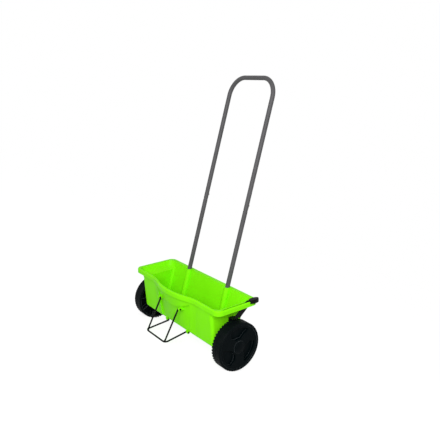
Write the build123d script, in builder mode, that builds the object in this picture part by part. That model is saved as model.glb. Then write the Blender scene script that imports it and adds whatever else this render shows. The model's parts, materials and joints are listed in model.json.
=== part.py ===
from build123d import *
import math
import os

# A walk-behind drop spreader for seed and fertiliser, in millimetres.
# X runs along the axle to the wheel that drives it, Y back to the handle, Z up.
# The origin is on the ground, under the middle of the whole spreader. Every piece is drawn
# with the rim level, as in use, and written as it stands parked: tipped on to its stand.

# Wheels
wheel_radius = 100.0
wheel_width = 49.0
hub_stub = 3.4
tread_depth = 1.0
tread_groove = 5.0
tread_lugs = 48
lug_length = 7.0
band_thickness = 9.0
face_recess = 4.0
spoke_height = 12.0
web_thickness = 4.0
hub_radius = 18.0
hub_flange_radius = 30.0
hub_flange_thickness = 6.0
rib_count = 9
rib_thickness = 3.0
rib_depth = 20.0
pocket_count = 3
pocket_inner = 34.0
pocket_outer = 79.0
pocket_left_shares = (0.52, 0.66, 0.44)
pocket_right_shares = (0.66, 0.5, 0.3)
pocket_round = 6.0
pocket_edge = 3.5
edge_round = 4.4
cap_seat_radius = 21.0
cap_lip = 5.0
cap_wall = 2.2
cap_edge = 1.2
cap_skirt = 6.0

# Axle and what rides on it
axle_radius = 5.0
axle_overhang = 8.5
run_clearance = 0.05
push_clearance = 0.02
end_play = 0.3
washer_radius = 12.0
washer_thickness = 2.0
split_pin_radius = 1.6
split_pin_length = 26.0
drive_pin_radius = 2.0
drive_pin_length = 30.0
drive_slot_depth = 6.0
bush_radius = 8.0
bush_flange_radius = 13.0
bush_flange = 2.0
boss_radius = 16.0
boss_margin = 1.7
paddle_hub_radius = 10.0
paddle_hub_length = 16.0
paddle_reach = 33.0
paddle_width = 12.0
paddle_thickness = 3.0
paddle_blades = 4

# Hopper
rim_height = 266.0
rim_corner = 28.0
lip_front_width = 5.5
lip_back_width = 16.0
lip_end_width = 14.0
lip_thickness = 3.0
lip_round = 5.0
skirt_height = 20.0
skirt_wall = 2.5
hopper_wall = 3.0
body_half_length = 258.0
body_front = 77.0
body_front_top = 90.0
body_back = 95.0
sill_height = 95.0
sill_round = 10.0
corner_round = 13.0
ledge_depth = 24.0
ledge_width = 28.0
ledge_slope = 12.0
tray_flare = 7.0
tray_corner = 30.0
trough_radius = 36.0
bow_depth = 28.0
bow_foot = 16.0
bow_half_length = 170.0
bow_crown_share = 0.66
bow_floor_setback = 0.4
panel_half_width = 120.0
panel_foot_half_width = 106.0
panel_top_drop = 34.0
panel_smile = 36.0
panel_step = 8.0
outlet_count = 9
outlet_pitch = 52.0
outlet_width = 8.0
outlet_length = 18.0

# Handle
tube_radius = 9.5
tube_wall = 1.2
tube_spacing = 275.0
handle_back = 88.0
handle_lean = 16.66
handle_length = 876.0
handle_bend = 79.0
joint_height = 330.0
spigot_length = 40.0
swage_length = 6.0
spigot_clearance = 0.1
socket_depth = 150.0
socket_floor = 4.0
socket_wall = 3.5
socket_round = 8.0
socket_collar = 1.5
socket_clearance = 0.1
socket_screw_depth = 60.0
joint_screw_offset = 20.0
screw_radius = 2.4
screw_head_radius = 4.6
screw_head_height = 2.8
screw_clearance = 0.05
screw_grip = 4.0
screw_pad_radius = 7.0
screw_pad_height = 1.5

# Wire stand
wire_radius = 3.5
stand_reach = 183.0
stand_height = 74.0
stand_half_width = 74.0
stand_bend = 16.0
leg_foot_half_width = 66.0
leg_lug_reach = 111.0
leg_lug_height = 202.0
base_lug_reach = 72.0
base_lug_height = 86.5
lug_half_spacing = 68.0
lug_thickness = 7.0
lug_radius = 6.5
lug_gap = 0.5
hook_bend = 5.0
hook_overrun = 3.5
weld_gap = 0.05

# Metering gate, lever and knob
gate_gap = 0.4
gate_thickness = 1.5
gate_front_angle = 18.0
gate_back_angle = 20.0
ear_radius = 27.0
lever_travel = 36.0
lever_thickness = 4.0
lever_width = 16.0
lever_blade = 24.0
lever_screw_radius = 2.0
lever_screw_head = 3.8
lever_screw_head_height = 2.4
lever_screw_circle = 21.5
lever_screw_angle = 55.0
lever_knee_reach = 112.0
lever_knee_angle = 2.0
lever_top_back = 60.0
lever_flag_back = 84.0
lever_flag = 12.0
lever_bend_low = 105.0
lever_bend_high = 115.0
lever_slot_clearance = 1.6
notch_count = 13
notch_pitch = 8.0
notch_length = 4.0
notch_depth = 3.0
notch_middle = 11.0
knob_back = 88.0
knob_overhang = 4.0
knob_drop = 8.0
knob_length = 48.0
knob_width = 25.0
knob_height = 6.5
knob_round = 3.0
knob_gap = 1.0
tang_height = 4.0

os.makedirs("parts", exist_ok=True)

# Where things lie: heights below are taken from the axle, and depths from it too.
lean = math.radians(handle_lean)
axle_z = wheel_radius
stand_drop = axle_z - stand_height
park = math.asin((axle_z - wire_radius) / math.hypot(stand_reach, stand_drop)) - math.atan2(
    stand_drop, stand_reach
)
lip_front = body_front_top + lip_front_width
lip_back = body_back + lip_back_width
front_extent = (
    (lip_front + bow_depth - lip_round) * math.cos(park)
    + (rim_height - axle_z - lip_round) * math.sin(park)
    + lip_round
)
axle_y = (front_extent - wheel_radius) / 2
rim_z = rim_height - wheel_radius
sill_z = sill_height - wheel_radius
ledge_z = rim_z - ledge_depth
tray_half_length = body_half_length + ledge_width + tray_flare
rim_half_length = tray_half_length + lip_end_width
boss_length = gate_gap + gate_thickness + lever_thickness + lever_screw_head_height + boss_margin
boss_face = body_half_length + boss_length
hub_back = boss_face + bush_flange + washer_thickness + 2 * end_play
wheel_back = hub_back + hub_stub
wheel_face = wheel_back + wheel_width
spoke_face = wheel_face - face_recess
web_face = spoke_face - spoke_height
hub_face = web_face - web_thickness
axle_end = hub_face + axle_overhang

axle_axis = Axis((0, axle_y, axle_z), (1, 0, 0))
# Across the axle: local x runs back and local y up, drawn from the axle.
side = Plane(origin=(0, axle_y, axle_z), x_dir=(0, 1, 0), z_dir=(1, 0, 0))
# Facing the front: local x runs along the axle and local y up.
front = Plane(origin=(0, axle_y, axle_z), x_dir=(1, 0, 0), z_dir=(0, -1, 0))


def level(height):
    """A flat plane at a height above the axle, with its origin over the axle."""
    return Plane(origin=(0, axle_y, axle_z + height))


def tube_plane(x, along):
    """A plane square to a handle tube, at a distance up it from the rim; local y runs back."""
    centre = (x, axle_y + handle_back + along * math.sin(lean), axle_z + rim_z + along * math.cos(lean))
    return Plane(origin=centre, x_dir=(1, 0, 0), z_dir=(0, math.sin(lean), math.cos(lean)))


def polar(radius, angle):
    """A point in the side view, its angle in radians from straight back."""
    return (radius * math.cos(angle), radius * math.sin(angle))


def swing(radius, degrees):
    """A point in the side view, its angle in degrees behind straight up."""
    return (radius * math.sin(math.radians(degrees)), radius * math.cos(math.radians(degrees)))


def parked(piece, name):
    """The piece under its name, as it is when the spreader is tipped forward on to its stand."""
    tipped = piece.rotate(axle_axis, math.degrees(park))
    tipped.label = name
    return tipped


# Hopper section: the floor and the back wall run off the round trough as tangents.
trough_outer = trough_radius + hopper_wall
floor_angle = math.atan2(sill_z, -body_front) % math.tau + math.acos(
    trough_outer / math.hypot(body_front, sill_z)
)
wall_angle = math.atan2(rim_z, body_back) - math.acos(trough_outer / math.hypot(body_back, rim_z))
front_draft = (body_front_top - body_front) / (rim_z - sill_z)


def wall_front(inset, height):
    """How far in front of the axle the front wall is at a height."""
    return body_front - inset + front_draft * (height - sill_z)


def wall_back(inset, height):
    """How far behind the axle the back wall is at a height."""
    return (trough_outer - inset - height * math.sin(wall_angle)) / math.cos(wall_angle)


def bow_radii(depth):
    """Turn in radians and the crown and flank radii of a front edge that bows out by depth."""
    turn = 2 * math.atan(depth / bow_half_length)
    both = bow_half_length / math.sin(turn)
    return turn, both * bow_crown_share, both * (1 - bow_crown_share)


def bowed_outline(half_length, front_y, back_y, depth, corner):
    """Plan outline with straight ends and back, and a front edge that bows out."""
    turn, crown, flank = bow_radii(depth)
    degrees = math.degrees(turn)
    with BuildSketch() as outline:
        with BuildLine():
            lead = Line((-half_length, -front_y), (-bow_half_length, -front_y))
            rise = JernArc(lead @ 1, (1, 0), flank, -degrees)
            crest = JernArc(rise @ 1, rise % 1, crown, 2 * degrees)
            fall = JernArc(crest @ 1, crest % 1, flank, -degrees)
            Polyline(
                fall @ 1, (half_length, -front_y), (half_length, back_y), (-half_length, back_y), lead @ 0
            )
        make_face()
        if corner:
            fillet(outline.vertices().filter_by(lambda v: abs(v.X) > half_length - 0.01), corner)
    return outline.sketch


def bow_form(inset, top):
    """The wedge of the bowed front: deep at the rim and shallow at the sill."""
    foot = sill_z + sill_round
    slope = (bow_depth - bow_foot) / (rim_z - foot)
    half = bow_half_length + hopper_wall
    sunk = 2 * hopper_wall - body_front + inset
    with BuildPart() as bow:
        with BuildSketch(level(foot)):
            add(bowed_outline(half, wall_front(inset, foot) - hopper_wall / 2, sunk, bow_foot, 0))
        with BuildSketch(level(top)):
            add(bowed_outline(half, wall_front(inset, top), sunk, bow_depth + slope * (top - rim_z), 0))
        loft(ruled=True)
    return bow.part


def panel_border(inset, top):
    """The bowed front with the panel's opening, which is curved above and runs out below."""
    half = panel_half_width + inset
    foot_half = panel_foot_half_width + inset
    brow_end = rim_z - panel_top_drop + inset
    with BuildPart() as border:
        add(bow_form(inset, top))
        with BuildSketch(front):
            with BuildLine():
                brow = ThreePointArc((-half, brow_end), (0, brow_end - panel_smile), (half, brow_end))
                Polyline(brow @ 1, (foot_half, sill_z), (-foot_half, sill_z), brow @ 0)
            make_face()
        extrude(amount=body_front + 2 * bow_depth, mode=Mode.SUBTRACT)
    return border.part


def tub_form(inset, top):
    """The tub's solid form, drawn inset from its outer face, with its top at a height."""
    radius = trough_outer - inset
    floor = polar(radius, floor_angle)
    sill_drop = (radius + wall_front(inset, 0) * math.cos(floor_angle)) / (
        math.sin(floor_angle) - front_draft * math.cos(floor_angle)
    )
    sill = (-wall_front(inset, sill_drop), sill_drop)
    middle = polar(radius, (floor_angle + wall_angle + math.tau) / 2)
    heel = polar(radius, wall_angle)
    flare = tray_flare / ledge_depth
    with BuildPart() as tub:
        # Trough, floor, front and back walls
        with BuildSketch(side):
            with BuildLine():
                Polyline((-wall_front(inset, top), top), sill, floor)
                ThreePointArc(floor, middle, heel)
                Polyline(heel, (wall_back(inset, top), top), (-wall_front(inset, top), top))
            make_face()
        extrude(amount=body_half_length - inset, both=True)
        sill_edge = tub.edges().filter_by(Axis.X).sort_by_distance((0, axle_y + sill[0], axle_z + sill[1]))[0]
        fillet(sill_edge, sill_round - inset)
        ends = tub.faces().filter_by(Axis.X).edges()
        fillet(ends.filter_by(lambda e: e.center().Z < axle_z + top - 1), corner_round - inset)
        # Wider tray above the sloping ledges
        brink = tray_half_length - flare * (rim_z - ledge_z - inset) - inset
        heel_half = body_half_length - inset - hopper_wall
        heel_height = ledge_z + inset - ledge_slope * (brink - heel_half) / ledge_width
        top_half = tray_half_length + flare * (top - rim_z) - inset
        for half, height in ((heel_half, heel_height), (brink, ledge_z + inset), (top_half, top)):
            with BuildSketch(level(height)) as section:
                with BuildLine():
                    face = -wall_front(inset, height)
                    back = wall_back(inset, height)
                    Polyline((-half, face), (half, face), (half, back), (-half, back), close=True)
                make_face()
                fillet(section.vertices(), tray_corner - inset)
        loft(ruled=True)
        # Bowed front, with a panel set back in it
        add(Pos(0, panel_step, 0) * bow_form(inset, top))
        add(panel_border(inset, top))
    return tub.part


# Sockets for the two handle tubes, rounded below and cut level just above the rim
socket_radius = tube_radius + socket_clearance + socket_wall
with BuildPart() as sockets:
    with BuildSketch(tube_plane(tube_spacing / 2, -socket_depth)):
        Circle(socket_radius)
    extrude(amount=socket_depth + 2 * socket_radius)
    fillet(sockets.edges().sort_by(Axis.Z)[0], socket_round)
    split(bisect_by=level(rim_z + socket_collar), keep=Keep.BOTTOM)
    # Flat pad behind, for the screw
    pad = tube_plane(tube_spacing / 2, -socket_screw_depth)
    with BuildSketch(Plane(origin=pad.origin, x_dir=(1, 0, 0), z_dir=pad.y_dir)):
        Circle(screw_pad_radius)
    extrude(amount=socket_radius + screw_pad_height)
    mirror(about=Plane.YZ)

# Lever slot in the right lip, over the channel between the tray and the skirt
lever_x = rim_half_length - (lip_end_width + skirt_wall) / 2
slot_back = lever_flag_back + lever_flag / 2 + lever_slot_clearance
slot_front = lever_top_back * math.cos(math.radians(lever_travel)) - rim_z * math.sin(
    math.radians(lever_travel)
)
slot_front = slot_front - lever_blade / 2 - 2 * lever_slot_clearance
slot_half_width = lever_thickness / 2 + lever_slot_clearance

# Hopper: one moulding with the lip, sockets, bosses and lugs
with BuildPart() as hopper:
    add(tub_form(0, rim_z))
    # Lip and its turned-down skirt
    with BuildSketch(level(rim_z)):
        add(bowed_outline(rim_half_length, lip_front, lip_back, bow_depth, rim_corner))
    extrude(amount=-lip_thickness)
    with BuildSketch(level(rim_z)):
        add(bowed_outline(rim_half_length, lip_front, lip_back, bow_depth, rim_corner))
        add(
            bowed_outline(
                rim_half_length - skirt_wall,
                lip_front - skirt_wall,
                lip_back - skirt_wall,
                bow_depth,
                rim_corner - skirt_wall,
            ),
            mode=Mode.SUBTRACT,
        )
    extrude(amount=-skirt_height)
    fillet(hopper.edges().group_by(Axis.Z)[-1], lip_round)
    # Lugs for the ends of the stand's wires
    lug_inner = lug_half_spacing + hook_bend + lug_gap
    lug_holes = [(-leg_lug_reach, leg_lug_height), (-base_lug_reach, base_lug_height)]
    lug_roots = [(-body_front, leg_lug_height), (-base_lug_reach, sill_height)]
    for hole, root in zip(lug_holes, lug_roots):
        for hand in (-1, 1):
            with BuildSketch(side.offset(hand * lug_inner)):
                with Locations((hole[0], hole[1] - axle_z)):
                    Circle(lug_radius)
                with Locations((root[0], root[1] - axle_z)):
                    Circle(lug_radius + hopper_wall)
                make_hull()
            extrude(amount=hand * lug_thickness)
    # Hollow inside
    add(tub_form(hopper_wall, rim_z + hopper_wall), mode=Mode.SUBTRACT)
    # Floor of the bowed front and of its panel, which closes them below
    bow_sill = sill_z + sill_round
    floor_front = wall_front(bow_floor_setback, bow_sill) - hopper_wall / 2
    floor_back = -wall_front(hopper_wall - bow_floor_setback, bow_sill)
    floor_edge = bowed_outline(bow_half_length + hopper_wall, floor_front, floor_back, bow_foot, 0)
    with BuildSketch(level(bow_sill + hopper_wall / 3)):
        add(floor_edge)
        with Locations((0, floor_back)):
            Rectangle(2 * panel_foot_half_width, 3 * bow_depth, mode=Mode.SUBTRACT)
        add(Pos(0, panel_step) * floor_edge)
        with Locations((0, floor_back - bow_depth)):
            Rectangle(2 * bow_half_length, 2 * bow_depth, mode=Mode.INTERSECT)
    extrude(amount=-hopper_wall)
    for hole in lug_holes:
        with BuildSketch(side):
            with Locations((hole[0], hole[1] - axle_z)):
                Circle(wire_radius + screw_clearance)
        extrude(amount=lug_inner + 2 * lug_thickness, both=True, mode=Mode.SUBTRACT)
    # Bosses that carry the bushes and the gate
    for hand in (-1, 1):
        with BuildSketch(side.offset(hand * (body_half_length - hopper_wall))):
            Circle(boss_radius)
        extrude(amount=hand * (boss_length + hopper_wall))
    with BuildSketch(side):
        Circle(bush_radius)
    extrude(amount=boss_face, both=True, mode=Mode.SUBTRACT)
    # Sockets and the holes for the tubes and their screws
    add(sockets.part)
    for hand in (-1, 1):
        with BuildSketch(tube_plane(hand * tube_spacing / 2, socket_floor - socket_depth)):
            Circle(tube_radius + socket_clearance)
        extrude(amount=socket_depth + socket_radius, mode=Mode.SUBTRACT)
        seat = tube_plane(hand * tube_spacing / 2, -socket_screw_depth)
        with BuildSketch(Plane(origin=seat.origin, x_dir=(1, 0, 0), z_dir=seat.y_dir)):
            Circle(screw_radius + screw_clearance)
        extrude(amount=socket_radius + 2 * screw_pad_height, mode=Mode.SUBTRACT)
    # Outlet slots along the bottom of the trough
    with BuildSketch(level(-trough_outer - hopper_wall)):
        with GridLocations(outlet_pitch, 0, outlet_count, 1):
            RectangleRounded(outlet_width, outlet_length, outlet_width / 3)
    extrude(amount=3 * hopper_wall, mode=Mode.SUBTRACT)
    # Slot for the lever, with a row of notches along its inner edge
    with BuildSketch(level(rim_z + hopper_wall)):
        with Locations((lever_x, (slot_front + slot_back) / 2)):
            Rectangle(2 * slot_half_width, slot_back - slot_front)
        with Locations((lever_x - slot_half_width, notch_middle)):
            with GridLocations(0, notch_pitch, 1, notch_count):
                Rectangle(2 * notch_depth, notch_length)
    extrude(amount=-2 * hopper_wall - lip_thickness, mode=Mode.SUBTRACT)
export_step(parked(hopper.part, "hopper"), "parts/hopper.step")

# Flanged bushes, pressed into the bosses from outside
for name, hand in (("left_bush", -1), ("right_bush", 1)):
    with BuildPart() as bush:
        with BuildSketch(side.offset(hand * (body_half_length - hopper_wall))):
            Circle(bush_radius - push_clearance)
        extrude(amount=hand * (boss_length + hopper_wall))
        with BuildSketch(side.offset(hand * boss_face)):
            Circle(bush_flange_radius)
        extrude(amount=hand * bush_flange)
        with BuildSketch(side):
            Circle(axle_radius + run_clearance)
        extrude(amount=hand * axle_end, mode=Mode.SUBTRACT)
    export_step(parked(bush.part, name), f"parts/{name}.step")

# Axle: plain rod with cross holes for its pins
split_pin_x = hub_face + end_play + washer_thickness + split_pin_radius + end_play
drive_pin_x = hub_back + drive_slot_depth / 2
with BuildPart() as axle:
    with BuildSketch(side):
        Circle(axle_radius)
    extrude(amount=axle_end, both=True)
    chamfer(axle.edges().filter_by(GeomType.CIRCLE), axle_radius / 5)
    with BuildSketch(level(-axle_radius)):
        with Locations((-split_pin_x, 0), (split_pin_x, 0)):
            Circle(split_pin_radius + push_clearance)
        with Locations((drive_pin_x, 0)):
            Circle(drive_pin_radius + push_clearance)
    extrude(amount=2 * axle_radius, mode=Mode.SUBTRACT)
export_step(parked(axle.part, "axle"), "parts/axle.step")

# Paddle stars on the axle, one over each outlet slot
with BuildPart() as agitator_paddles:
    for place in GridLocations(outlet_pitch, 0, outlet_count, 1):
        middle = side.offset(place.position.X)
        with BuildSketch(middle):
            with PolarLocations(paddle_reach / 2, paddle_blades, start_angle=180 / paddle_blades):
                Rectangle(paddle_reach, paddle_thickness)
            Circle(axle_radius + push_clearance, mode=Mode.SUBTRACT)
        extrude(amount=paddle_width / 2, both=True)
        with BuildSketch(middle):
            Circle(paddle_hub_radius)
            Circle(axle_radius + push_clearance, mode=Mode.SUBTRACT)
        extrude(amount=paddle_hub_length / 2, both=True)
export_step(parked(agitator_paddles.part, "agitator_paddles"), "parts/agitator_paddles.step")

# Drive pin through the axle, lying in a slot of the right hub
with BuildPart() as drive_pin:
    with BuildSketch(level(-drive_pin_length / 2)):
        with Locations((drive_pin_x, 0)):
            Circle(drive_pin_radius)
    extrude(amount=drive_pin_length)
export_step(parked(drive_pin.part, "drive_pin"), "parts/drive_pin.step")

# Thrust washers on both sides of each hub
for name, start in (
    ("inner_washers", boss_face + bush_flange + end_play),
    ("outer_washers", hub_face + end_play),
):
    with BuildPart() as washers:
        for hand in (-1, 1):
            with BuildSketch(side.offset(hand * start)):
                Circle(washer_radius)
                Circle(axle_radius + push_clearance, mode=Mode.SUBTRACT)
            extrude(amount=hand * washer_thickness)
    export_step(parked(washers.part, name), f"parts/{name}.step")

# Split pins that keep the wheels on
with BuildPart() as split_pins:
    with BuildSketch(level(-split_pin_length / 2)):
        with Locations((-split_pin_x, 0), (split_pin_x, 0)):
            Circle(split_pin_radius)
    extrude(amount=split_pin_length)
export_step(parked(split_pins.part, "split_pins"), "parts/split_pins.step")


def lug_ring(turn):
    """Tread lugs standing on the band, as one ring seen along the axle."""
    with BuildSketch() as ring:
        with PolarLocations(wheel_radius - tread_depth / 2, tread_lugs, start_angle=turn):
            Rectangle(2 * tread_depth, lug_length)
        Circle(wheel_radius, mode=Mode.INTERSECT)
    return ring.sketch


def pocket_outline():
    """One recessed pocket between two broad spokes whose edges kink half way out."""
    span = math.pi / pocket_count
    kink = (pocket_inner + pocket_outer) / 2
    left_rim, left_kink, left_hub = (share * span for share in pocket_left_shares)
    right_rim, right_kink, right_hub = (-share * span for share in pocket_right_shares)
    with BuildSketch() as pocket:
        with BuildLine():
            rim_arc = ThreePointArc(
                polar(pocket_outer, right_rim), polar(pocket_outer, 0), polar(pocket_outer, left_rim)
            )
            hub_arc = ThreePointArc(
                polar(pocket_inner, left_hub), polar(pocket_inner, 0), polar(pocket_inner, right_hub)
            )
            Polyline(rim_arc @ 1, polar(kink, left_kink), hub_arc @ 0)
            Polyline(hub_arc @ 1, polar(kink, right_kink), rim_arc @ 0)
        make_face()
        fillet(pocket.vertices(), pocket_round)
    return pocket.sketch


def spoked_face(radius):
    """Raised face of the right wheel, with three pockets whose brinks are rounded."""
    with BuildPart() as face:
        with BuildSketch(side.offset(web_face)):
            Circle(radius)
            Circle(cap_seat_radius, mode=Mode.SUBTRACT)
            with PolarLocations(0, pocket_count, start_angle=90):
                add(pocket_outline(), mode=Mode.SUBTRACT)
        extrude(amount=spoke_height)
        brinks = face.edges().filter_by_position(Axis.X, spoke_face, spoke_face)
        pockets = brinks.filter_by(lambda e: not e.is_closed)
        fillet(pockets, pocket_edge)
    return face.part


def wheel_form():
    """The right wheel, moulded in one piece: hub, web, spoked face, band and tread."""
    band_outer = wheel_radius - tread_depth
    band_inner = band_outer - band_thickness
    row_width = (wheel_width - tread_groove) / 2
    with BuildPart() as wheel:
        # Hub, its flange, the web and the band, turned about the axle
        with BuildSketch(front) as profile:
            with BuildLine():
                Polyline(
                    (hub_back, axle_radius + run_clearance),
                    (hub_face, axle_radius + run_clearance),
                    (hub_face, cap_seat_radius),
                    (web_face, cap_seat_radius),
                    (web_face, band_inner),
                    (wheel_face, band_inner),
                    (wheel_face, band_outer),
                    (wheel_back, band_outer),
                    (wheel_back, band_inner),
                    (hub_face, band_inner),
                    (hub_face, hub_flange_radius),
                    (hub_face - hub_flange_thickness, hub_flange_radius),
                    (hub_face - hub_flange_thickness, hub_radius),
                    (hub_back, hub_radius),
                    close=True,
                )
            make_face()
            fillet(profile.vertices().filter_by(lambda v: v.X > wheel_face - 0.01), edge_round)
            back_rim = profile.vertices().filter_by(lambda v: v.X < wheel_back + 0.01 and v.Y > band_inner)
            fillet(back_rim, edge_round)
        revolve(axis=axle_axis)
        add(spoked_face(band_inner))
        # Ribs behind the web
        with BuildSketch(side.offset(hub_face - rib_depth)):
            with PolarLocations((hub_radius + band_inner) / 2, rib_count, start_angle=90):
                Rectangle(band_inner - hub_radius + 2, rib_thickness)
        extrude(amount=rib_depth)
        # Two rows of staggered lugs
        with BuildSketch(side.offset(wheel_back)):
            add(lug_ring(90 - math.degrees(park)))
        extrude(amount=row_width)
        with BuildSketch(side.offset(wheel_face - row_width)):
            add(lug_ring(90 - math.degrees(park) + 180 / tread_lugs))
        extrude(amount=row_width - edge_round)
        # Slot for the drive pin
        with BuildSketch(side.offset(hub_back)):
            Rectangle(2 * (drive_pin_radius + end_play), 2 * hub_radius)
        extrude(amount=drive_slot_depth, mode=Mode.SUBTRACT)
    return wheel.part


def cap_form():
    """The right hub cap: a shallow dome with a skirt that pushes into the wheel."""
    skirt = cap_seat_radius - push_clearance
    lip = cap_seat_radius + cap_lip
    crown = wheel_face - end_play
    rise = crown - spoke_face - cap_edge
    dome_radius = (lip**2 + rise**2) / (2 * rise)
    with BuildPart() as cap:
        with BuildSketch(front):
            with BuildLine():
                dome = CenterArc(
                    (crown - dome_radius, 0), dome_radius, 0, math.degrees(math.asin(lip / dome_radius))
                )
                Polyline(
                    dome @ 0,
                    (crown - cap_wall, 0),
                    (crown - cap_wall, skirt - cap_wall),
                    (spoke_face - cap_skirt, skirt - cap_wall),
                    (spoke_face - cap_skirt, skirt),
                    (spoke_face + push_clearance, skirt),
                    (spoke_face + push_clearance, lip),
                    dome @ 1,
                )
            make_face()
        revolve(axis=axle_axis)
    return cap.part


# Wheels and hub caps, the left pair as a mirror image of the right
for name, form in (("wheel", wheel_form()), ("hub_cap", cap_form())):
    with BuildPart() as right_piece:
        add(form)
    export_step(parked(right_piece.part, f"right_{name}"), f"parts/right_{name}.step")
    with BuildPart() as left_piece:
        add(mirror(form, about=Plane.YZ, mode=Mode.PRIVATE))
    export_step(parked(left_piece.part, f"left_{name}"), f"parts/left_{name}.step")

# Metering gate: curved sheet under the outlets, with an ear on each boss
gate_inner = trough_outer + gate_gap
gate_outer = gate_inner + gate_thickness
ear_inner = body_half_length + gate_gap
ear_outer = ear_inner + gate_thickness
gate_span = gate_front_angle + gate_back_angle
with BuildPart() as metering_gate:
    with BuildSketch(side):
        with BuildLine():
            outer_arc = CenterArc((0, 0), gate_outer, 270 - gate_front_angle, gate_span)
            inner_arc = CenterArc((0, 0), gate_inner, 270 - gate_front_angle, gate_span)
            Line(outer_arc @ 0, inner_arc @ 0)
            Line(outer_arc @ 1, inner_arc @ 1)
        make_face()
    extrude(amount=ear_outer, both=True)
    for hand in (-1, 1):
        with BuildSketch(side.offset(hand * ear_inner)):
            Circle(ear_radius)
            with BuildLine():
                skirt_arc = CenterArc((0, 0), gate_outer, 270 - gate_front_angle, gate_span)
                Polyline(skirt_arc @ 1, (0, 0), skirt_arc @ 0)
            make_face()
            Circle(boss_radius + run_clearance, mode=Mode.SUBTRACT)
        extrude(amount=hand * gate_thickness)
    # Holes for the lever's screws
    screw_places = [swing(lever_screw_circle, lever_knee_angle + k * lever_screw_angle) for k in (-1, 1)]
    with BuildSketch(side.offset(ear_inner)):
        with Locations(*screw_places):
            Circle(lever_screw_radius + push_clearance)
    extrude(amount=gate_thickness, mode=Mode.SUBTRACT)
export_step(parked(metering_gate.part, "metering_gate"), "parts/metering_gate.step")

lever_inner = ear_outer
lever_face = lever_inner + lever_thickness
lever_outer = lever_x + lever_thickness / 2
lever_knee = swing(lever_knee_reach, lever_knee_angle)
lever_slope = math.atan2(lever_bend_high - lever_bend_low, lever_outer - lever_thickness - lever_inner)
lever_drop = lever_thickness * (1 / math.cos(lever_slope) - math.tan(lever_slope))
tang_top = rim_z + knob_gap + tang_height
blade_top = (lever_top_back, tang_top - lever_blade / 2)
flag_ends = [(y, tang_top - lever_flag / 2) for y in (lever_top_back, lever_flag_back)]


def bar(start, end, width):
    """A flat bar with round ends between two points of the side view."""
    run = math.dist(start, end)
    angle = math.degrees(math.atan2(end[1] - start[1], end[0] - start[0]))
    with BuildSketch() as flat:
        with Locations(((start[0] + end[0]) / 2, (start[1] + end[1]) / 2)):
            SlotCenterToCenter(run, width, rotation=angle)
    return flat.sketch


# Dose lever: ring on the right boss, an arm that leans back and out over the wheel, and a flag in the slot
with BuildPart() as dose_lever:
    with BuildSketch(side.offset(lever_inner)):
        Circle(ear_radius)
        add(bar((0, 0), lever_knee, lever_width))
        add(bar(lever_knee, blade_top, lever_blade))
        add(bar(*flag_ends, lever_flag))
        Circle(boss_radius + run_clearance, mode=Mode.SUBTRACT)
        with Locations(*screw_places):
            Circle(lever_screw_radius + push_clearance, mode=Mode.SUBTRACT)
    extrude(amount=lever_outer - lever_inner)
    # Kept to a flat strip with two bends, seen from the front
    with BuildSketch(front):
        with BuildLine():
            Polyline(
                (lever_inner, -ear_radius),
                (lever_inner, lever_bend_low),
                (lever_outer - lever_thickness, lever_bend_high),
                (lever_outer - lever_thickness, tang_top),
                (lever_outer, tang_top),
                (lever_outer, lever_bend_high - lever_drop),
                (lever_face, lever_bend_low - lever_drop),
                (lever_face, -ear_radius),
                close=True,
            )
        make_face()
    extrude(amount=2 * wheel_radius, both=True, mode=Mode.INTERSECT)
export_step(parked(dose_lever.part, "dose_lever"), "parts/dose_lever.step")

# Knob pushed on the lever's flag: an oval cap, just clear of the lip and turned down outside it
with BuildPart() as lever_knob:
    with BuildSketch(level(rim_z - knob_drop)):
        with Locations((lever_x + knob_overhang, knob_back)):
            Ellipse(knob_width / 2, knob_length / 2)
    extrude(amount=knob_drop + knob_gap + knob_height)
    fillet(lever_knob.edges().group_by(Axis.Z)[-1], knob_round)
    with BuildSketch(level(rim_z - knob_drop)):
        with Locations((rim_half_length + knob_gap, knob_back)):
            Rectangle(2 * knob_width, 2 * knob_length, align=(Align.MAX, Align.CENTER))
    extrude(amount=knob_drop + knob_gap, mode=Mode.SUBTRACT)
    with BuildSketch(side.offset(lever_outer - lever_thickness - push_clearance)):
        add(bar(lever_knee, blade_top, lever_blade + 2 * push_clearance))
        add(bar(*flag_ends, lever_flag + 2 * push_clearance))
    extrude(amount=lever_thickness + 2 * push_clearance, mode=Mode.SUBTRACT)
export_step(parked(lever_knob.part, "lever_knob"), "parts/lever_knob.step")

# Screws that hold the lever to the gate's ear
with BuildPart() as lever_screws:
    with BuildSketch(side.offset(lever_face)):
        with Locations(*screw_places):
            Circle(lever_screw_head)
    extrude(amount=lever_screw_head_height)
    fillet(lever_screws.edges().group_by(Axis.X)[-1], lever_screw_head_height / 2)
    with BuildSketch(side.offset(ear_inner)):
        with Locations(*screw_places):
            Circle(lever_screw_radius)
    extrude(amount=lever_face - ear_inner)
export_step(parked(lever_screws.part, "lever_screws"), "parts/lever_screws.step")

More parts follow.
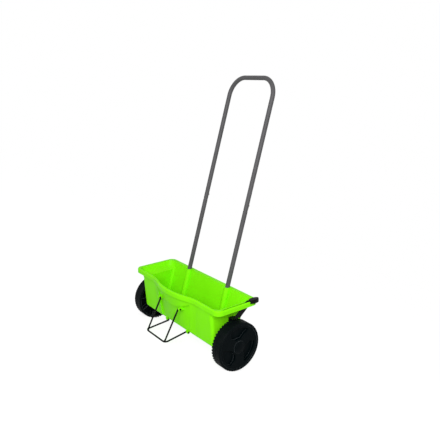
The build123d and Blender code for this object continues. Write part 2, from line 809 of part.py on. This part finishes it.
# Lower handle tubes: swaged at the top into a spigot, with holes for their screws
bore_radius = tube_radius - tube_wall
spigot_radius = bore_radius - spigot_clearance
tube_foot = socket_floor - socket_depth
joint_screw_height = joint_height + joint_screw_offset
for name, hand in (("left_handle_tube", -1), ("right_handle_tube", 1)):
    rim_plane = tube_plane(hand * tube_spacing / 2, 0)
    upright = Plane(origin=rim_plane.origin, x_dir=(1, 0, 0), z_dir=-rim_plane.y_dir)
    with BuildPart() as handle_tube:
        with BuildSketch(upright):
            with BuildLine():
                Polyline(
                    (tube_radius, tube_foot),
                    (tube_radius, joint_height - swage_length),
                    (spigot_radius, joint_height),
                    (spigot_radius, joint_height + spigot_length),
                    (spigot_radius - tube_wall, joint_height + spigot_length),
                    (spigot_radius - tube_wall, joint_height),
                    (bore_radius, joint_height - swage_length),
                    (bore_radius, tube_foot),
                    close=True,
                )
            make_face()
        revolve(axis=Axis(upright.origin, upright.y_dir))
        for along in (-socket_screw_depth, joint_screw_height):
            seat = tube_plane(hand * tube_spacing / 2, along)
            with BuildSketch(Plane(origin=seat.origin, x_dir=(1, 0, 0), z_dir=seat.y_dir)):
                Circle(screw_radius + screw_clearance)
            extrude(amount=2 * tube_radius, mode=Mode.SUBTRACT)
    export_step(parked(handle_tube.part, name), f"parts/{name}.step")

# Upper handle: one tube bent to a U, over the spigots of the lower tubes
handle_plane = Plane(
    origin=tube_plane(0, 0).origin, x_dir=(1, 0, 0), z_dir=-tube_plane(0, 0).y_dir
)
with BuildPart() as handle_upper:
    with BuildLine(handle_plane) as handle_path:
        FilletPolyline(
            (-tube_spacing / 2, joint_height),
            (-tube_spacing / 2, handle_length),
            (tube_spacing / 2, handle_length),
            (tube_spacing / 2, joint_height),
            radius=handle_bend,
        )
    with BuildSketch(Plane(origin=handle_path.line @ 0, z_dir=handle_path.line % 0)):
        Circle(tube_radius)
        Circle(bore_radius, mode=Mode.SUBTRACT)
    sweep()
    for hand in (-1, 1):
        seat = tube_plane(hand * tube_spacing / 2, joint_screw_height)
        with BuildSketch(Plane(origin=seat.origin, x_dir=(1, 0, 0), z_dir=seat.y_dir)):
            Circle(screw_radius + screw_clearance)
        extrude(amount=2 * tube_radius, mode=Mode.SUBTRACT)
export_step(parked(handle_upper.part, "handle_upper"), "parts/handle_upper.step")


def pan_screws(along, seat_height):
    """A pair of pan-head screws at a distance up the two tubes, driven from behind."""
    with BuildPart() as screws:
        for hand in (-1, 1):
            place = tube_plane(hand * tube_spacing / 2, along)
            driven = Plane(origin=place.origin, x_dir=(1, 0, 0), z_dir=place.y_dir)
            with BuildSketch(driven.offset(bore_radius - screw_grip)):
                Circle(screw_radius)
            extrude(amount=seat_height - bore_radius + screw_grip)
            with BuildSketch(driven.offset(seat_height)):
                Circle(screw_head_radius)
            extrude(amount=screw_head_height)
            with BuildSketch(driven.offset(seat_height + screw_head_height)):
                Rectangle(screw_head_radius, screw_head_radius / 4)
                Rectangle(screw_head_radius / 4, screw_head_radius)
            extrude(amount=-screw_head_height / 2, mode=Mode.SUBTRACT)
    return screws.part


# Screws in the sockets and at the joints of the handle
for name, along, seat_height in (
    ("socket_screws", -socket_screw_depth, socket_radius + screw_pad_height),
    ("handle_joint_screws", joint_screw_height, tube_radius + screw_clearance),
):
    with BuildPart() as screw_pair:
        add(pan_screws(along, seat_height))
    export_step(parked(screw_pair.part, name), f"parts/{name}.step")

# Stand base: wire bent to a U, its ends hooked through the lower lugs
hook_end = lug_inner + lug_thickness + hook_overrun
base_y = axle_y - stand_reach
base_lug_y = axle_y - base_lug_reach
with BuildPart() as stand_base:
    with BuildLine() as base_path:
        FilletPolyline(
            (-hook_end, base_lug_y, base_lug_height),
            (-lug_half_spacing, base_lug_y, base_lug_height),
            (-stand_half_width, base_y, stand_height),
            (stand_half_width, base_y, stand_height),
            (lug_half_spacing, base_lug_y, base_lug_height),
            (hook_end, base_lug_y, base_lug_height),
            radius=[hook_bend, stand_bend, stand_bend, hook_bend],
        )
    with BuildSketch(Plane(origin=base_path.line @ 0, z_dir=base_path.line % 0)):
        Circle(wire_radius)
    sweep()
export_step(parked(stand_base.part, "stand_base"), "parts/stand_base.step")

# Stand legs: wires hooked through the upper lugs and welded to the base
leg_lug_y = axle_y - leg_lug_reach
foot_inset = leg_foot_half_width - stand_half_width + stand_bend
leg_foot_y = base_y + stand_bend - math.sqrt(stand_bend**2 - foot_inset**2)
leg_top = Vector(lug_half_spacing, leg_lug_y, leg_lug_height)
leg_foot = Vector(leg_foot_half_width, leg_foot_y, stand_height)
leg_end = leg_foot + (leg_top - leg_foot).normalized() * wire_radius / 2
with BuildPart() as stand_legs:
    with BuildLine() as leg_path:
        FilletPolyline(
            (hook_end, leg_lug_y, leg_lug_height),
            leg_top,
            leg_end,
            radius=hook_bend,
        )
    with BuildSketch(Plane(origin=leg_path.line @ 0, z_dir=leg_path.line % 0)):
        Circle(wire_radius)
    sweep()
    # End coped to the round of the base wire
    with BuildSketch(Plane(origin=base_path.line @ 0, z_dir=base_path.line % 0)):
        Circle(wire_radius + weld_gap)
    sweep(path=base_path.line, mode=Mode.SUBTRACT)
    mirror(about=Plane.YZ)
export_step(parked(stand_legs.part, "stand_legs"), "parts/stand_legs.step")
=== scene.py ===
import bpy
import bmesh
import json
import math
from mathutils import Matrix, Vector


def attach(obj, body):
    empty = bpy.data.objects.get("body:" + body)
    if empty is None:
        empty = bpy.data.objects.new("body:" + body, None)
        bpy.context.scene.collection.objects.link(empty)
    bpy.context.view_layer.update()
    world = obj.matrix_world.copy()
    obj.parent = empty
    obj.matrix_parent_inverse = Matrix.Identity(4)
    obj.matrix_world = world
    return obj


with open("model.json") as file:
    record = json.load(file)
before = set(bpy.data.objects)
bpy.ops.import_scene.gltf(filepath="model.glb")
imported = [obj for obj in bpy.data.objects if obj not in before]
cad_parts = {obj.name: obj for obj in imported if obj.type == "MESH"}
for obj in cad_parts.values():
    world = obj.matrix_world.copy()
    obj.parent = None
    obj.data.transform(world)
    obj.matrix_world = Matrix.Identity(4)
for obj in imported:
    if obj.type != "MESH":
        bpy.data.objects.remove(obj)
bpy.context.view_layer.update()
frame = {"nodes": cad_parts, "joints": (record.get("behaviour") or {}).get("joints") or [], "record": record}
nodes = frame["nodes"]
axle = Vector(next(j for j in frame["joints"] if j["name"] == "axle_spin")["pos_m"])

# Hopper: one thin-walled tub, injection moulded in lime green polypropylene with a fine
# spark-eroded grain. The lip, sockets, bosses and lugs are moulded in one with it.
noise_low = 0.3
noise_high = 0.7


def new_material(name):
    """A node material, its tree, its shader and the piece's own coordinates in metres."""
    material = bpy.data.materials.new(name)
    material.use_nodes = True
    tree = material.node_tree
    coords = tree.nodes.new("ShaderNodeTexCoord").outputs["Object"]
    return material, tree, tree.nodes["Principled BSDF"], coords


def noise(tree, coords, cells, detail=3.0, stretch=None):
    """Noise of so many cells a metre, stretched along the axes if asked."""
    if stretch:
        mapping = tree.nodes.new("ShaderNodeMapping")
        mapping.inputs["Scale"].default_value = stretch
        tree.links.new(coords, mapping.inputs["Vector"])
        coords = mapping.outputs["Vector"]
    node = tree.nodes.new("ShaderNodeTexNoise")
    node.inputs["Scale"].default_value = cells
    node.inputs["Detail"].default_value = detail
    tree.links.new(coords, node.inputs["Vector"])
    return node.outputs["Fac"]


def two_tone(tree, value, dark, light, low=noise_low, high=noise_high):
    """A colour that goes from dark to light as a value goes from low to high."""
    node = tree.nodes.new("ShaderNodeValToRGB")
    stops = zip(node.color_ramp.elements, (low, high), (dark, light))
    for element, place, colour in stops:
        element.position = place
        element.color = (*colour, 1.0)
    tree.links.new(value, node.inputs["Fac"])
    return node.outputs["Color"]


def rescale(tree, value, start, end, low=0.0, high=1.0):
    """A value between low and high, as another goes from start to end."""
    node = tree.nodes.new("ShaderNodeMapRange")
    node.inputs["From Min"].default_value = start
    node.inputs["From Max"].default_value = end
    node.inputs["To Min"].default_value = low
    node.inputs["To Max"].default_value = high
    tree.links.new(value, node.inputs["Value"])
    return node.outputs["Result"]


def spread(tree, value, low, high):
    """Noise spread between two limits."""
    return rescale(tree, value, noise_low, noise_high, low, high)


def bump(tree, shader, height, strength, distance):
    """Bumps of so many metres on a shader, laid over any that it has."""
    node = tree.nodes.new("ShaderNodeBump")
    node.inputs["Strength"].default_value = strength
    node.inputs["Distance"].default_value = distance
    tree.links.new(height, node.inputs["Height"])
    if shader.inputs["Normal"].links:
        tree.links.new(shader.inputs["Normal"].links[0].from_socket, node.inputs["Normal"])
    tree.links.new(node.outputs["Normal"], shader.inputs["Normal"])


def dress(material, *names):
    """Gives CAD nodes one material."""
    for name in names:
        slots = nodes[name].data.materials
        slots.clear()
        slots.append(material)


lime_dark = (0.19, 0.76, 0.003)
lime_light = (0.21, 0.81, 0.004)
green, tree, shader, coords = new_material("hopper_green")
lime = two_tone(tree, noise(tree, coords, cells=9.0), lime_dark, lime_light)
tree.links.new(lime, shader.inputs["Base Color"])
satin = spread(tree, noise(tree, coords, cells=60.0), low=0.34, high=0.46)
tree.links.new(satin, shader.inputs["Roughness"])
shader.inputs["Specular IOR Level"].default_value = 0.05
sink_marks = noise(tree, coords, cells=14.0)
bump(tree, shader, sink_marks, strength=0.25, distance=0.0012)
spark_grain = noise(tree, coords, cells=1400.0, detail=2.0)
bump(tree, shader, spark_grain, strength=0.12, distance=0.0001)
dress(green, "hopper")

# Wheels and hub caps: black polyethylene, blow moulded in one with the tread. The tread is
# scuffed dull, and the brinks of the pockets and the caps' edges carry a painted highlight.
groove_radius = 0.093
tread_radius = 0.0995
# Width of the painted highlight on the wheels' edges.
highlight_width = 0.002
flat_agreement = 0.985
edge_agreement = 0.9
wheel_dark = (0.0008, 0.0024, 0.003)
wheel_dusty = (0.005, 0.0065, 0.0065)
# Lighter colour painted on the wheels' edges as a highlight.
wheel_highlight = (0.085, 0.097, 0.107)


def from_axle(tree, coords):
    """How far a point is from the axle's line, in metres."""
    offset = tree.nodes.new("ShaderNodeVectorMath")
    offset.operation = "SUBTRACT"
    offset.inputs[1].default_value = (0.0, axle.y, axle.z)
    tree.links.new(coords, offset.inputs[0])
    flat = tree.nodes.new("ShaderNodeVectorMath")
    flat.operation = "MULTIPLY"
    flat.inputs[1].default_value = (0.0, 1.0, 1.0)
    tree.links.new(offset.outputs["Vector"], flat.inputs[0])
    radius = tree.nodes.new("ShaderNodeVectorMath")
    radius.operation = "LENGTH"
    tree.links.new(flat.outputs["Vector"], radius.inputs[0])
    return radius.outputs["Value"]


def combine(tree, operation, first, second):
    """Two values worked into one, kept between 0 and 1."""
    node = tree.nodes.new("ShaderNodeMath")
    node.operation = operation
    node.use_clamp = True
    tree.links.new(first, node.inputs[0])
    tree.links.new(second, node.inputs[1])
    return node.outputs["Value"]


def painted_edge_highlight(tree):
    """A mask for the painted edge highlight, rising to 1 on a surface's edges, where a rounding would turn
    its normal.
    """
    rounding = tree.nodes.new("ShaderNodeBevel")
    rounding.samples = 8
    rounding.inputs["Radius"].default_value = highlight_width
    surface = tree.nodes.new("ShaderNodeNewGeometry")
    agree = tree.nodes.new("ShaderNodeVectorMath")
    agree.operation = "DOT_PRODUCT"
    tree.links.new(rounding.outputs["Normal"], agree.inputs[0])
    tree.links.new(surface.outputs["Normal"], agree.inputs[1])
    return rescale(tree, agree.outputs["Value"], flat_agreement, edge_agreement)


black, tree, shader, coords = new_material("wheel_black")
tread = rescale(tree, from_axle(tree, coords), groove_radius, tread_radius)
dust = combine(tree, "MULTIPLY", tread, noise(tree, coords, cells=45.0, detail=5.0))
scuffed = two_tone(tree, dust, wheel_dark, wheel_dusty, low=0.1, high=0.9)
# Painted highlight: the face's edges, away from the tread, are mixed in patches towards a lighter colour.
highlight_patches = spread(tree, noise(tree, coords, cells=25.0), low=0.1, high=1.0)
face_highlight = combine(tree, "SUBTRACT", painted_edge_highlight(tree), tread)
highlight_mix = tree.nodes.new("ShaderNodeMixRGB")
tree.links.new(combine(tree, "MULTIPLY", face_highlight, highlight_patches), highlight_mix.inputs["Fac"])
tree.links.new(scuffed, highlight_mix.inputs["Color1"])
highlight_mix.inputs["Color2"].default_value = (*wheel_highlight, 1.0)
tree.links.new(highlight_mix.outputs["Color"], shader.inputs["Base Color"])
satin = spread(tree, noise(tree, coords, cells=70.0, detail=4.0), low=0.34, high=0.5)
tree.links.new(satin, shader.inputs["Roughness"])
shader.inputs["Specular IOR Level"].default_value = 0.025
blown_waves = noise(tree, coords, cells=30.0)
bump(tree, shader, blown_waves, strength=0.2, distance=0.001)
mould_grain = noise(tree, coords, cells=900.0, detail=2.0)
bump(tree, shader, mould_grain, strength=0.15, distance=0.0001)
dress(black, "left_wheel", "right_wheel", "left_hub_cap", "right_hub_cap")

# Lever, knob and paddles: black nylon, injection moulded with a satin grain. The knob is pushed
# on the lever's tang, and the paddles are pushed on the axle.
nylon_dark = (0.003, 0.003, 0.0033)
nylon_light = (0.006, 0.006, 0.0065)
nylon, tree, shader, coords = new_material("moulded_black")
black_nylon = two_tone(tree, noise(tree, coords, cells=40.0), nylon_dark, nylon_light)
tree.links.new(black_nylon, shader.inputs["Base Color"])
satin = spread(tree, noise(tree, coords, cells=120.0), low=0.38, high=0.5)
tree.links.new(satin, shader.inputs["Roughness"])
shader.inputs["Specular IOR Level"].default_value = 0.06
mould_grain = noise(tree, coords, cells=1200.0, detail=2.0)
bump(tree, shader, mould_grain, strength=0.2, distance=0.0001)
dress(nylon, "dose_lever", "lever_knob", "agitator_paddles")

# Handle: welded steel tube, bent and swaged, then powder coated dark grey. The coat has a slight
# orange peel.
coat_dark = (0.07, 0.0685, 0.071)
coat_light = (0.084, 0.082, 0.085)
grey, tree, shader, coords = new_material("tube_grey")
powder = two_tone(tree, noise(tree, coords, cells=25.0), coat_dark, coat_light)
tree.links.new(powder, shader.inputs["Base Color"])
satin = spread(tree, noise(tree, coords, cells=160.0), low=0.34, high=0.44)
tree.links.new(satin, shader.inputs["Roughness"])
shader.inputs["Specular IOR Level"].default_value = 0.1
orange_peel = noise(tree, coords, cells=550.0, detail=2.0)
bump(tree, shader, orange_peel, strength=0.12, distance=0.0002)
dress(grey, "handle_upper", "left_handle_tube", "right_handle_tube")

# Stand: steel wire, bent cold and hooked through the hopper's lugs. It is dip coated black, with
# a slightly uneven gloss.
dip_dark = (0.002, 0.002, 0.002)
dip_light = (0.004, 0.004, 0.004)
wire, tree, shader, coords = new_material("wire_black")
dip_coat = two_tone(tree, noise(tree, coords, cells=60.0), dip_dark, dip_light)
tree.links.new(dip_coat, shader.inputs["Base Color"])
gloss = spread(tree, noise(tree, coords, cells=90.0), low=0.26, high=0.4)
tree.links.new(gloss, shader.inputs["Roughness"])
shader.inputs["Specular IOR Level"].default_value = 0.06
dip_runs = noise(tree, coords, cells=300.0, detail=2.0)
bump(tree, shader, dip_runs, strength=0.15, distance=0.0003)
dress(wire, "stand_base", "stand_legs")

# Welds of the stand: a rippled bead of weld metal round the foot of each leg, where it meets
# the bent corner of the base wire. They were dipped black with the wires. Their places are
# given from the axle, with the rim level, and are tipped forward as the spreader is.
rim_up = next(m for m in frame["record"]["mounts"] if m["name"] == "rim_cover_seat")["axis"]
tip = Matrix.Translation(axle) @ Matrix.Rotation(math.atan2(-rim_up[1], rim_up[2]), 4, "X")
leg_foot_x, leg_foot_y, leg_foot_z = 0.066, -0.1789, -0.0226
leg_top_x, leg_top_y, leg_top_z = 0.068, -0.111, 0.102
bead_outline = (
    (0.003, -0.0024),
    (0.0045, -0.0023),
    (0.0051, -0.001),
    (0.0047, 0.0007),
    (0.0039, 0.0021),
    (0.003, 0.0028),
)
bead_steps = 42
bead_ripples = 7
ripple_share = 0.05
merge_distance = 1e-6


def place_mesh(name, bm, material):
    """A new object at the origin, made from a bmesh in one material."""
    mesh = bpy.data.meshes.new(name)
    bm.to_mesh(mesh)
    bm.free()
    mesh.materials.append(material)
    piece = bpy.data.objects.new(name, mesh)
    bpy.context.scene.collection.objects.link(piece)
    return piece


for name, hand in (("left_stand_weld", -1), ("right_stand_weld", 1)):
    leg_foot = Vector((hand * leg_foot_x, leg_foot_y, leg_foot_z))
    leg_top = Vector((hand * leg_top_x, leg_top_y, leg_top_z))
    bm = bmesh.new()
    ring = [bm.verts.new((radius, 0.0, height)) for radius, height in bead_outline]
    edges = [bm.edges.new((ring[k - 1], ring[k])) for k in range(len(ring))]
    bmesh.ops.spin(
        bm,
        geom=ring + edges,
        axis=(0.0, 0.0, 1.0),
        angle=2 * math.pi,
        steps=bead_steps,
        use_merge=True,
    )
    for vert in bm.verts:
        swell = 1.0 + ripple_share * math.sin(bead_ripples * math.atan2(vert.co.y, vert.co.x))
        vert.co.x *= swell
        vert.co.y *= swell
    bmesh.ops.remove_doubles(bm, verts=bm.verts, dist=merge_distance)
    bmesh.ops.recalc_face_normals(bm, faces=bm.faces)
    along_leg = (leg_top - leg_foot).to_track_quat("Z", "Y").to_matrix().to_4x4()
    bmesh.ops.transform(bm, matrix=tip @ Matrix.Translation(leg_foot) @ along_leg, verts=bm.verts)
    for face in bm.faces:
        face.smooth = True
    weld = place_mesh(name, bm, wire)
    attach(weld, "hopper_body")

# Axle, gate, pins, washers and screws: drawn and stamped steel, zinc plated. Faint drawn lines
# run along the axle, and a slight tint wanders over the plating.
zinc_blue = (0.5, 0.51, 0.53)
zinc_straw = (0.63, 0.62, 0.58)
zinc, tree, shader, coords = new_material("plated_steel")
plating = two_tone(tree, noise(tree, coords, cells=30.0, detail=4.0), zinc_blue, zinc_straw)
tree.links.new(plating, shader.inputs["Base Color"])
drawn_lines = noise(tree, coords, cells=60.0, stretch=(0.6, 30.0, 30.0))
tree.links.new(spread(tree, drawn_lines, low=0.24, high=0.42), shader.inputs["Roughness"])
bump(tree, shader, drawn_lines, strength=0.1, distance=0.0001)
shader.inputs["Metallic"].default_value = 1.0
dress(zinc, "axle", "drive_pin", "inner_washers", "outer_washers", "split_pins", "metering_gate")
dress(zinc, "lever_screws", "handle_joint_screws", "socket_screws")

# Bushes: flanged bushes turned from natural acetal, slightly waxy, and pressed into the hopper's
# bosses.
acetal_dark = (0.66, 0.65, 0.6)
acetal_light = (0.72, 0.71, 0.66)
acetal, tree, shader, coords = new_material("bush_white")
natural = two_tone(tree, noise(tree, coords, cells=50.0), acetal_dark, acetal_light)
tree.links.new(natural, shader.inputs["Base Color"])
waxy = spread(tree, noise(tree, coords, cells=200.0), low=0.3, high=0.4)
tree.links.new(waxy, shader.inputs["Roughness"])
dress(acetal, "left_bush", "right_bush")

# Floor: a plain white sheet. The camera and mirror-like surfaces see it glow as well, so that the
# spreader's shadow on it stays faint.
floor_half_size = 30.0
glow_strength = 2.05
glow_share = 0.4


def seen_directly(tree):
    """1 for rays from the camera, off glossy surfaces and through clear ones, otherwise 0."""
    path = tree.nodes.new("ShaderNodeLightPath")
    seen = path.outputs["Is Camera Ray"]
    for other_ray in ("Is Glossy Ray", "Is Transmission Ray"):
        seen = combine(tree, "MAXIMUM", seen, path.outputs[other_ray])
    return seen


def blend(tree, share, first, second, output):
    """Mixes two shaders by a share of the second, for a tree's output."""
    node = tree.nodes.new("ShaderNodeMixShader")
    tree.links.new(share, node.inputs["Fac"])
    tree.links.new(first, node.inputs[1])
    tree.links.new(second, node.inputs[2])
    tree.links.new(node.outputs["Shader"], tree.nodes[output].inputs["Surface"])


sheet, tree, shader, coords = new_material("floor_white")
shader.inputs["Base Color"].default_value = (0.6, 0.6, 0.6, 1.0)
shader.inputs["Roughness"].default_value = 0.9
shader.inputs["Specular IOR Level"].default_value = 0.0
glow = tree.nodes.new("ShaderNodeEmission")
glow.inputs["Strength"].default_value = glow_strength
glow_seen = rescale(tree, seen_directly(tree), 0.0, 1.0, low=0.0, high=glow_share)
blend(tree, glow_seen, shader.outputs["BSDF"], glow.outputs["Emission"], "Material Output")
bm = bmesh.new()
bmesh.ops.create_grid(bm, x_segments=1, y_segments=1, size=floor_half_size)
floor = place_mesh("floor", bm, sheet)

# Light: an even white room with one large soft lamp above and in front. Like the camera, the lamp
# is set out from the axle with the rim level, and tipped forward with the spreader.
room_strength = 0.5
backdrop_strength = 1.0
lamp_place = (1.85, -1.6, 1.75)
lamp_target = (0.0, 0.0, 0.1)


def aim(place, target):
    """A place and a view towards a target, both from the axle, tipped with the spreader."""
    view = (Vector(target) - Vector(place)).to_track_quat("-Z", "Y")
    return tip @ Matrix.Translation(place) @ view.to_matrix().to_4x4()


scene = bpy.context.scene
scene.view_settings.view_transform = "Standard"
world = bpy.data.worlds.new("white_room")
world.use_nodes = True
tree = world.node_tree
room = tree.nodes["Background"]
room.inputs["Strength"].default_value = room_strength
backdrop = tree.nodes.new("ShaderNodeBackground")
backdrop.inputs["Strength"].default_value = backdrop_strength
for background in (room, backdrop):
    background.inputs["Color"].default_value = (1.0, 1.0, 1.0, 1.0)
room_light, backdrop_light = room.outputs["Background"], backdrop.outputs["Background"]
blend(tree, seen_directly(tree), room_light, backdrop_light, "World Output")
scene.world = world
lamp = bpy.data.lights.new("key_light", "AREA")
lamp.size = 1.4
lamp.energy = 84.0
light = bpy.data.objects.new("key_light", lamp)
light.matrix_world = aim(lamp_place, lamp_target)
scene.collection.objects.link(light)

# Camera: where the photograph was taken from, fitted to its wheels, rim and handle.
camera_place = (1.72607, -1.18970, 1.02260)
camera_target = (0.20058, 0.0, 0.48537)
lens = bpy.data.cameras.new("camera")
lens.sensor_width = 36.0
lens.lens = 43.15
camera = bpy.data.objects.new("camera", lens)
camera.matrix_world = aim(camera_place, camera_target)
scene.collection.objects.link(camera)
scene.camera = camera
